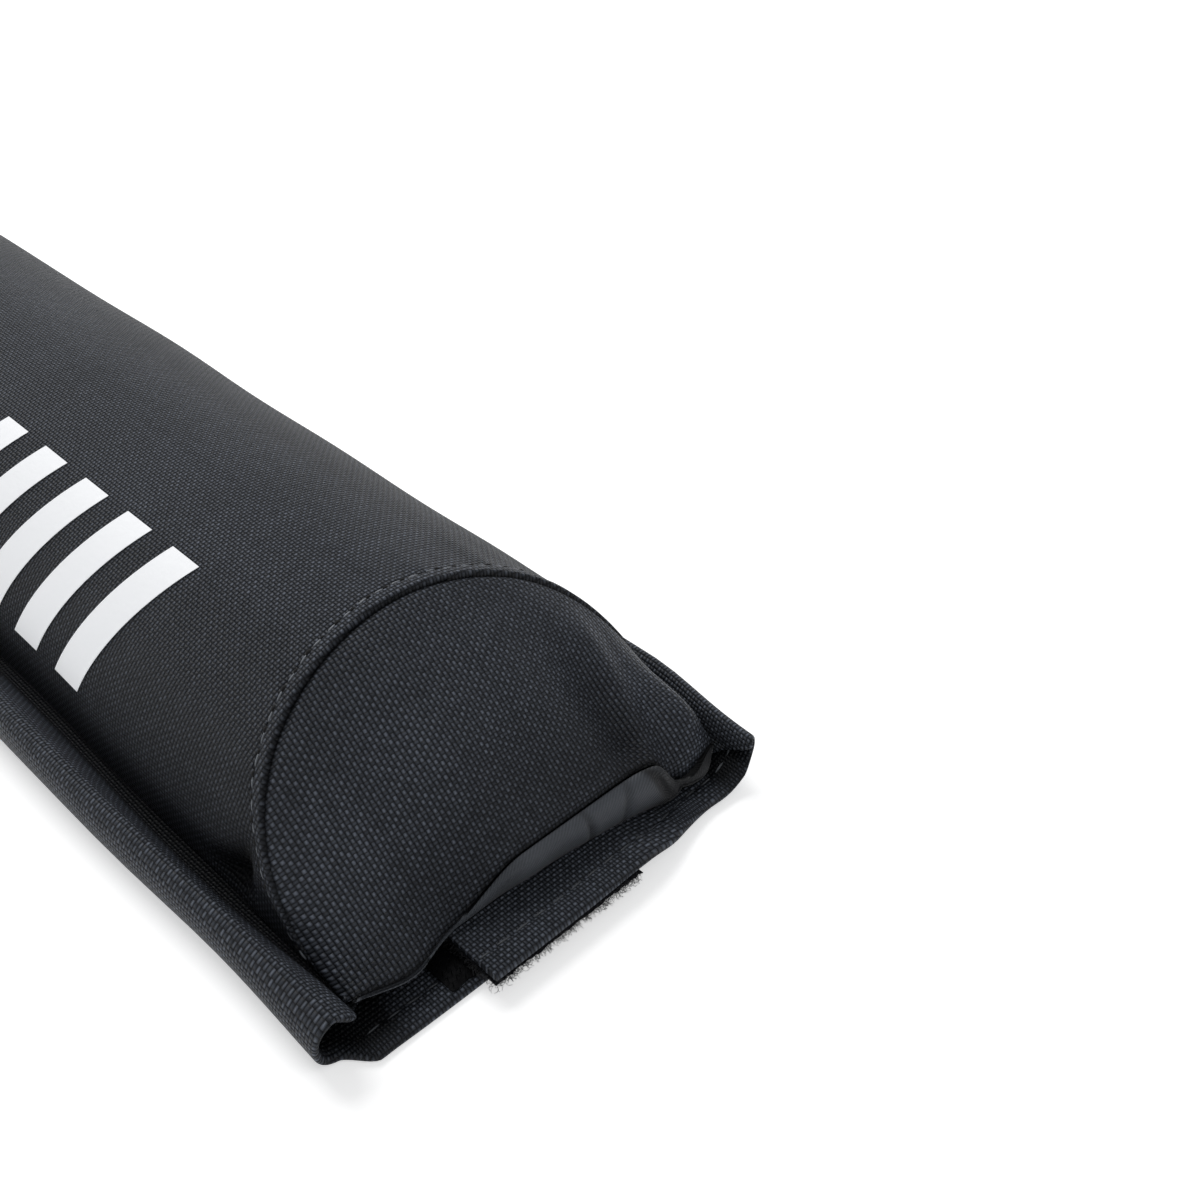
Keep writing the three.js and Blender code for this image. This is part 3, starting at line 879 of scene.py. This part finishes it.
def tapePiece(kind, relief, material):
    # kind is hook or loop, and its sizes are the ones in tape that begin with it
    half, edge, base, thickness = (tape[kind + part] for part in ("Half", "Edge", "Base", "Thickness"))
    x = np.linspace(half, -half, tape["rows"])
    xs, ys = np.meshgrid(x, np.linspace(0, 1, tape["columns"]), indexing="ij")
    y = edge + tape["width"] * ys
    fromRim = np.minimum(np.minimum(ys, 1 - ys) * tape["width"], half - np.abs(xs))
    rim = 0.5 * roundRim(fromRim, tape["rim"], 0.05)
    fray = tape["fray"] * ripple(xs, y, 77, 5 * mm, 1.5 * mm) * (1 - ramp(fromRim, 0, 2 * mm))
    place = (xs + fray * np.sign(xs), y + pad["middleY"])
    top = np.stack([*place, base + thickness * (0.5 + rim) + relief(xs, y)], -1)
    bottom = np.stack([*place, base + thickness * (0.5 - rim)], -1)
    return shellPiece(kind + "Tape", top, bottom, np.stack([xs, y], -1), material)


def hookRidges(x, y):
    return 0.12 * mm * np.sin(2 * math.pi * y / tape["ridge"])


def loopPile(x, y):
    return 0.1 * mm * ripple(x, y, 83, 14 * mm, 5 * mm) - 0.12 * mm


def tapeMaterial(name, dark, light, roughness, relief):
    material, tree, shader = newMaterial(name, {"Roughness": roughness, "Specular IOR Level": 0.06})
    grain = objectNoise(tree, 2600, 3)
    patch = maths(tree, "MULTIPLY_ADD", objectNoise(tree, 90, 2), 0.8, 0.5)
    color = mixColors(tree, maths(tree, "MULTIPLY", grain, patch), dark, light)
    finishSurface(tree, shader, color, grain, relief)
    return material


hookNylon = tapeMaterial("hookTapeNylon", (0.0006, 0.0006, 0.0009), (0.004, 0.0042, 0.005), 0.5, 0.08 * mm)
loopNylon = tapeMaterial("loopTapeNylon", (0.004, 0.004, 0.005), (0.022, 0.023, 0.027), 0.85, 0.3 * mm)
hookTapePiece = tapePiece("hook", hookRidges, hookNylon)
loopTapePiece = tapePiece("loop", loopPile, loopNylon)
print("tapes made")


# small repeated shapes by Geometry Nodes: each vertex of a point mesh carries one
def addInput(tree, name, kind, value):
    socket = tree.interface.new_socket(name=name, in_out="INPUT", socket_type=kind)
    socket.default_value = value
    return socket


def scatter(name, places, length, thickness, shape, material, turn, sizeSpread, seed):
    inputs = {"Length": length, "Thickness": thickness}
    tree = bpy.data.node_groups.new(name + "Nodes", "GeometryNodeTree")
    tree.interface.new_socket(name="Points", in_out="INPUT", socket_type="NodeSocketGeometry")
    tree.interface.new_socket(name="Geometry", in_out="OUTPUT", socket_type="NodeSocketGeometry")
    sockets = {key: addInput(tree, key, "NodeSocketFloat", value) for key, value in inputs.items()}
    sockets["Seed"] = addInput(tree, "Seed", "NodeSocketInt", seed)
    given = addNode(tree, "NodeGroupInput").outputs

    def vectorAttribute(key):
        node = addNode(tree, "GeometryNodeInputNamedAttribute", {"Name": key}, data_type="FLOAT_VECTOR")
        return node.outputs["Attribute"]

    def randomNumber(low, high, extra):
        values = {2: low, 3: high, "Seed": maths(tree, "ADD", given["Seed"], extra)}
        return addNode(tree, "FunctionNodeRandomValue", values, data_type="FLOAT").outputs[1]

    def rotation(kind, values, **settings):
        return addNode(tree, "FunctionNode" + kind, values, **settings).outputs[0]

    facing = rotation("AlignRotationToVector", {"Vector": vectorAttribute("along")}, axis="X")
    values = {"Rotation": facing, "Vector": vectorAttribute("up")}
    standing = rotation("AlignRotationToVector", values, axis="Z", pivot_axis="X")
    spin = rotation("AxisAngleToRotation", {"Axis": (0, 0, 1), "Angle": randomNumber(-turn, turn, 1)})
    values = {"Rotation": standing, "Rotate By": spin}
    turned = rotation("RotateRotation", values, rotation_space="LOCAL")
    values = {"Points": given["Points"], "Instance": shape(tree, given), "Rotation": turned}
    values["Scale"] = randomNumber(1 - sizeSpread, 1 + sizeSpread, 2)
    placed = addNode(tree, "GeometryNodeInstanceOnPoints", values)
    real = addNode(tree, "GeometryNodeRealizeInstances", {0: placed.outputs[0]})
    paint = addNode(tree, "GeometryNodeSetMaterial", {0: real.outputs[0], "Material": material})
    addNode(tree, "NodeGroupOutput", {0: paint.outputs[0]})

    points, along, up = places
    mesh = bpy.data.meshes.new(name + "Points")
    mesh.from_pydata(points.tolist(), [], [])
    for key, values in (("along", along), ("up", up)):
        attribute = mesh.attributes.new(key, "FLOAT_VECTOR", "POINT")
        attribute.data.foreach_set("vector", values.astype(np.float32).ravel())
    piece = bpy.data.objects.new(name, mesh)
    scene.collection.objects.link(piece)
    modifier = piece.modifiers.new(name, "NODES")
    modifier.node_group = tree
    for key, value in {**inputs, "Seed": seed}.items():
        modifier[sockets[key].identifier] = value
    bpy.context.view_layer.update()
    evaluated = piece.evaluated_get(bpy.context.evaluated_depsgraph_get())
    result = bpy.data.meshes.new_from_object(evaluated)
    piece.modifiers.clear()
    piece.data = result
    result.name = name
    result.polygons.foreach_set("use_smooth", np.ones(len(result.polygons), dtype=bool))
    if not result.materials:
        result.materials.append(material)
    return piece


def threadShape(tree, given):
    # one stitch: a fat little bead of thread, long in X
    bead = addNode(tree, "GeometryNodeMeshUVSphere", {"Segments": 8, "Rings": 6, "Radius": 0.5})
    sizes = {0: given["Length"], 1: given["Thickness"], 2: given["Thickness"]}
    size = addNode(tree, "ShaderNodeCombineXYZ", sizes)
    values = {"Geometry": bead.outputs["Mesh"], "Scale": size.outputs[0]}
    return addNode(tree, "GeometryNodeTransform", values).outputs[0]


def fibreShape(middle, end, steps):
    # a bent fibre, with the middle and end of its curve given as shares of its length
    def build(tree, given):
        values = {"Resolution": steps, "Start": (0, 0, 0)}
        for key, parts in (("Middle", middle), ("End", end)):
            scaled = [maths(tree, "MULTIPLY", given["Length"], part) for part in parts]
            values[key] = addNode(tree, "ShaderNodeCombineXYZ", dict(enumerate(scaled))).outputs[0]
        line = addNode(tree, "GeometryNodeCurveQuadraticBezier", values)
        radius = maths(tree, "MULTIPLY", given["Thickness"], 0.5)
        ring = addNode(tree, "GeometryNodeCurvePrimitiveCircle", {"Resolution": 4, "Radius": radius})
        values = {"Curve": line.outputs[0], "Profile Curve": ring.outputs[0], "Fill Caps": True}
        return addNode(tree, "GeometryNodeCurveToMesh", values).outputs[0]

    return build


def threadMaterial(name, dark, light, roughness):
    return grainedMaterial(name, dark, light, (1900, 2), 0.05 * mm, {"Roughness": roughness})


stitches = {
    "pitch": 4.1 * mm,
    "length": 2.4 * mm,
    "thickness": 0.5 * mm,
    "lift": 0.22 * mm,
    "hemPitch": 4.6 * mm,
    "hemLength": 3.3 * mm,
    "hemLift": 0.04 * mm,
    "holeAt": 0.38,
    "holeSink": 0.12 * mm,
    "holeLength": 1.4 * mm,
    "holeThickness": 1.05 * mm,
}
# the seam thread is coloured light grey: a painted sheen on a black thread
seamThreadSheen = threadMaterial("seamThreadSheen", (0.090, 0.099, 0.113), (0.235, 0.252, 0.28), 0.45)
fuzzThread = threadMaterial("fuzzThread", (0.004, 0.004, 0.005), (0.022, 0.023, 0.027), 0.7)
hemThread = threadMaterial("hemThread", (0.022, 0.025, 0.030), (0.075, 0.082, 0.093), 0.5)
# near-black colour for the needle holes: painted shade in the holes
needleHoleShade = threadMaterial("needleHoleShade", (0.0008, 0.0008, 0.001), (0.002, 0.002, 0.0025), 0.9)


def spacedAlong(line, pitch, start):
    # places a pitch apart on a line of points, the way it runs there and their share of its length
    run = runLength(line)
    at = np.arange(start, run[-1] - start, pitch)

    def pointsAt(place):
        return np.stack([np.interp(place, run, line[:, k]) for k in range(3)], -1)

    way = pointsAt(at + 0.5 * mm) - pointsAt(at - 0.5 * mm)
    return pointsAt(at), unit(way), at / run[-1]


def seamStitches():
    share = np.linspace(0.035, 0.965, 2400)
    _, _, setBack, _ = sectionAt(share)
    found = []
    for end in (1, -1):
        line = coverPoint(end * (pad["halfLength"] - setBack - cover["bandWidth"]), share)
        place, way, part = spacedAlong(line, stitches["pitch"], 1 * mm)
        ny, nz = sectionNormal(np.interp(part, (0, 1), (share[0], share[-1])))
        up = np.stack([0 * ny, ny, nz], -1)
        found.append((place + up * stitches["lift"], way, up))
    return joined(found)


def hemStitches():
    # rows on both ends of each flap, kept to the part that lies below the pad or in a roll
    row = int(np.argmin(np.abs(endDistances - flap["hemWidth"])))
    found = []
    for grid, normal, most in ((hookTop, hookNormal, -25 * mm), (loopTop, loopNormal, 50 * mm)):
        for index in (row, len(grid) - 1 - row):
            line = grid[index]
            place, way, _ = spacedAlong(line, stitches["hemPitch"], 1.5 * mm)
            nearest = [np.argmin(np.linalg.norm(line - q, axis=1)) for q in place]
            up = normal[index][nearest]
            y = place[:, 1] - pad["middleY"]
            fit = (y > -50 * mm) & (y < most)
            found.append(((place + up * stitches["hemLift"])[fit], way[fit], up[fit]))
    return joined(found)


# dark beads sunk between the stitches: painted shade in the needle holes
def holesBetween(points, ways, ups):
    return points + ways * stitches["pitch"] * stitches["holeAt"] - ups * stitches["holeSink"], ways, ups


seamPlaces = seamStitches()
seamThreadPiece = scatter(
    "seamStitching", seamPlaces, stitches["length"], stitches["thickness"],
    threadShape, seamThreadSheen, turn=0.06, sizeSpread=0.06, seed=5,
)
hemThreadPiece = scatter(
    "hemStitching", hemStitches(), stitches["hemLength"], stitches["thickness"],
    threadShape, hemThread, turn=0.12, sizeSpread=0.15, seed=8,
)
seamHoleShade = scatter(
    "seamHoleShade", holesBetween(*seamPlaces), stitches["holeLength"], stitches["holeThickness"],
    threadShape, needleHoleShade, turn=0.2, sizeSpread=0.15, seed=6,
)
print("stitches made")

fuzz = {
    "perEnd": 1000,
    "perSide": 500,
    "sideReach": 42 * mm,
    "length": 0.9 * mm,
    "thickness": 0.045 * mm,
    "hookRows": 4,
    "hooksInRow": 60,
    "rowPitch": 1.45 * mm,
    "hookPitch": 1.5 * mm,
    "hookHeight": 1.3 * mm,
    "hookThickness": 0.22 * mm,
}


def fuzzPlaces():
    # loose loops on both cut ends of the loop tape, then on the near edge beside each end
    rng = np.random.default_rng(19)
    found = []

    def heights(count):
        return rng.uniform(tape["loopBase"] + 0.1 * mm, tape["loopBase"] + tape["loopThickness"], count)

    def addFuzz(x, y, z, way):
        points = np.stack([x, y + pad["middleY"], z], -1)
        found.append((points, unit(np.stack(way, -1)), unit(rng.normal(0, 1, points.shape))))

    count = fuzz["perEnd"]
    for end in (1, -1):
        y = rng.uniform(tape["loopEdge"], tape["loopEdge"] + tape["width"] - 1 * mm, count)
        z = heights(count)
        x = end * (tape["loopHalf"] - rng.uniform(0, 0.5, count) * mm)
        way = (np.full(count, end * 1.0), rng.normal(0, 0.55, count), rng.normal(-0.1, 0.45, count))
        addFuzz(x, y, z, way)
    count = fuzz["perSide"]
    y = np.full(count, tape["loopEdge"] + 0.2 * mm)
    for end in (1, -1):
        x = end * (tape["loopHalf"] - rng.uniform(0, fuzz["sideReach"], count))
        z = heights(count)
        addFuzz(x, y, z, (rng.normal(0, 0.5, count), np.full(count, -1.0), rng.normal(0, 0.4, count)))
    return joined(found)


def hookPlaces():
    step = np.arange(fuzz["hooksInRow"]) * fuzz["hookPitch"]
    z = tape["hookBase"] + tape["hookThickness"] - 0.1 * mm
    points = []
    for end in (1, -1):
        for row in range(fuzz["hookRows"]):
            y = tape["hookEdge"] + 0.9 * mm + row * fuzz["rowPitch"] + pad["middleY"]
            x = end * (tape["hookHalf"] - 0.8 * mm - step - (row % 2) * 0.7 * mm)
            points.append(np.stack([x, np.full_like(x, y), np.full_like(x, z)], -1))
    points = np.concatenate(points)
    along = np.tile([0.0, -1.0, 0.0], (len(points), 1))
    along[::2, 1] = 1.0
    return points, along, np.tile([0.0, 0.0, 1.0], (len(points), 1))


fuzzPiece = scatter(
    "loopFuzz", fuzzPlaces(), fuzz["length"], fuzz["thickness"],
    fibreShape((0.9, 0, 0.5), (1.1, 0, -0.35), 4), fuzzThread, turn=0.5, sizeSpread=0.7, seed=12,
)
hooksPiece = scatter(
    "tapeHooks", hookPlaces(), fuzz["hookHeight"], fuzz["hookThickness"],
    fibreShape((-0.1, 0, 1.5), (0.55, 0, 0.55), 6), hookNylon, turn=0.5, sizeSpread=0.12, seed=15,
)
print("tape fibres made")

# generic slanted bars printed on each long side, in place of any words
barPrint = {
    "bars": 12,
    "firstAt": 82 * mm,
    "width": 10 * mm,
    "gap": 8.5 * mm,
    "slant": 12 * mm,
    "topY": 20 * mm,
    "lowerY": 46.3 * mm,
    "lift": 0.12 * mm,
    "film": 0.1 * mm,
    "rows": 10,
    "columns": 30,
}


def makePrint(name, side, ink):
    high, low = np.interp((-barPrint["topY"], -barPrint["lowerY"]), arcY, arcShares)
    u, t = np.linspace(0, 1, barPrint["rows"]), np.linspace(0, 1, barPrint["columns"])
    us, ts = np.meshgrid(u, t, indexing="ij")
    share = high + (low - high) * ts
    if side > 0:
        share = 1 - share
    parts = []
    for index in range(barPrint["bars"]):
        start = pad["halfLength"] - barPrint["firstAt"] - index * (barPrint["width"] + barPrint["gap"])
        x = -side * (start - barPrint["slant"] * ts - us * barPrint["width"])
        top = coverPoint(x, share, barPrint["lift"] + barPrint["film"])
        bottom = coverPoint(x, share, barPrint["lift"])
        parts.append(shellPiece(f"printBar{index}", top, bottom, np.stack([x, share], -1), ink))
    with bpy.context.temp_override(active_object=parts[0], selected_editable_objects=parts):
        bpy.ops.object.join()
    parts[0].name = name
    return parts[0]


# white print ink that also glows a little: a painted light that keeps the bars white
inkGlowValues = {"Roughness": 0.55, "Emission Color": (0.95, 0.97, 1, 1), "Emission Strength": 0.12}
inkColors = ((0.90, 0.91, 0.93), (0.97, 0.975, 0.99))
printInkWithGlow = grainedMaterial("printInkWithGlow", *inkColors, (700, 3), 0.06 * mm, inkGlowValues)
printNear = makePrint("sidePrintNear", -1, printInkWithGlow)
printFar = makePrint("sidePrintFar", 1, printInkWithGlow)
print("print made")

# foam inside the cover
foam = {
    "fromCover": 4.6 * mm,
    "fromSeam": 5 * mm,
    "fromLining": 0.9 * mm,
    "leastEdge": 0.4 * mm,
    "cells": 900,
    "shares": (0.1, 0.9),
    "rows": 60,
    "columns": 80,
}


def foamMaterial():
    material, tree, shader = newMaterial("closedFoam", {"Roughness": 0.9})
    place = addNode(tree, "ShaderNodeTexCoord").outputs["Object"]
    cells = addNode(tree, "ShaderNodeTexVoronoi", {"Vector": place, "Scale": foam["cells"]})
    distance = cells.outputs["Distance"]
    color = mixColors(tree, distance, (0.02, 0.02, 0.022), (0.05, 0.05, 0.054))
    finishSurface(tree, shader, color, distance, 0.2 * mm)
    return material


def makeFoam():
    share = np.linspace(*foam["shares"], foam["columns"])
    _, _, setBack, _ = sectionAt(share)
    x = np.linspace(1, -1, foam["rows"])[:, None] * (pad["halfLength"] - setBack - foam["fromSeam"])
    floor = pad["base"] + foam["fromLining"]
    top = coverPoint(x, np.broadcast_to(share, x.shape), -foam["fromCover"])
    top = onBase(top, floor + foam["leastEdge"])
    low = top.copy()
    low[..., 2] = floor
    return shellPiece("foamBlock", top, low, top[..., :2], foamMaterial())


foamPiece = makeFoam()
print("foam made")


# floor and light
studio = {
    "floorHalf": 6.0,
    "floorTone": 0.86,
    "floorGlow": 0.5,
    "sky": 0.32,
    "skyColor": (0.97, 0.985, 1.0, 1),
    "keyEnergy": 62.0,
    "keyFrom": (-1.8, 0.5, 1.9),
    "keySize": 1.9,
    "fillEnergy": 9.0,
    "fillFrom": (1.7, 0.5, 1.9),
    "fillSize": 1.6,
}


def makeFloor():
    mesh = bpy.data.meshes.new("paleFloor")
    r = studio["floorHalf"]
    mesh.from_pydata([(-r, -r, 0), (r, -r, 0), (r, r, 0), (-r, r, 0)], [], [(0, 1, 2, 3)])
    floor = bpy.data.objects.new("paleFloor", mesh)
    scene.collection.objects.link(floor)
    tone = (studio["floorTone"], studio["floorTone"], studio["floorTone"], 1)
    glow = {"Emission Color": (1, 1, 1, 1), "Emission Strength": studio["floorGlow"]}
    material, _, _ = newMaterial("paleFloor", {"Base Color": tone, "Roughness": 0.9, **glow})
    mesh.materials.append(material)


def softLight(kind):
    energy, place, size = (studio[kind + part] for part in ("Energy", "From", "Size"))
    data = bpy.data.lights.new(kind + "Light", "AREA")
    data.energy, data.size = energy, size
    light = bpy.data.objects.new(kind + "Light", data)
    light.location = place
    light.rotation_euler = (-Vector(place)).to_track_quat("-Z", "Y").to_euler()
    scene.collection.objects.link(light)


makeFloor()
softLight("key")
softLight("fill")
world = bpy.data.worlds.new("softStudio")
world.use_nodes = True
sky = world.node_tree.nodes["Background"]
sky.inputs["Color"].default_value = studio["skyColor"]
sky.inputs["Strength"].default_value = studio["sky"]
scene.world = world
scene.view_settings.view_transform = "Standard"
print("floor and lights made")

# what each piece rides on, stands for and takes its finish from
dressing = (
    (coverPiece, "cover_fabric", "top_cover"),
    (panelFront, "cover_fabric", "end_panel_front"),
    (panelRear, "cover_fabric", "end_panel_rear"),
    (liningPiece, "lining_fabric", "base_lining"),
    (foamPiece, "foam", "foam_core"),
    (hookFlapPiece, "flap_fabric", "hook_flap"),
    (loopFlapPiece, "flap_fabric", "loop_flap"),
    (hookTapePiece, "hook_tape", "hook_tape"),
    (loopTapePiece, "loop_tape", "loop_tape"),
    (seamThreadPiece, "cover_fabric", None),
    (seamHoleShade, "cover_fabric", None),
    (hemThreadPiece, "flap_fabric", None),
    (fuzzPiece, "loop_tape", None),
    (hooksPiece, "hook_tape", None),
    (printNear, "cover_fabric", None),
    (printFar, "cover_fabric", None),
)
for piece, finish, node in dressing:
    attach(piece, "root")
    if node:
        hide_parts(node)
print("pieces dressed")
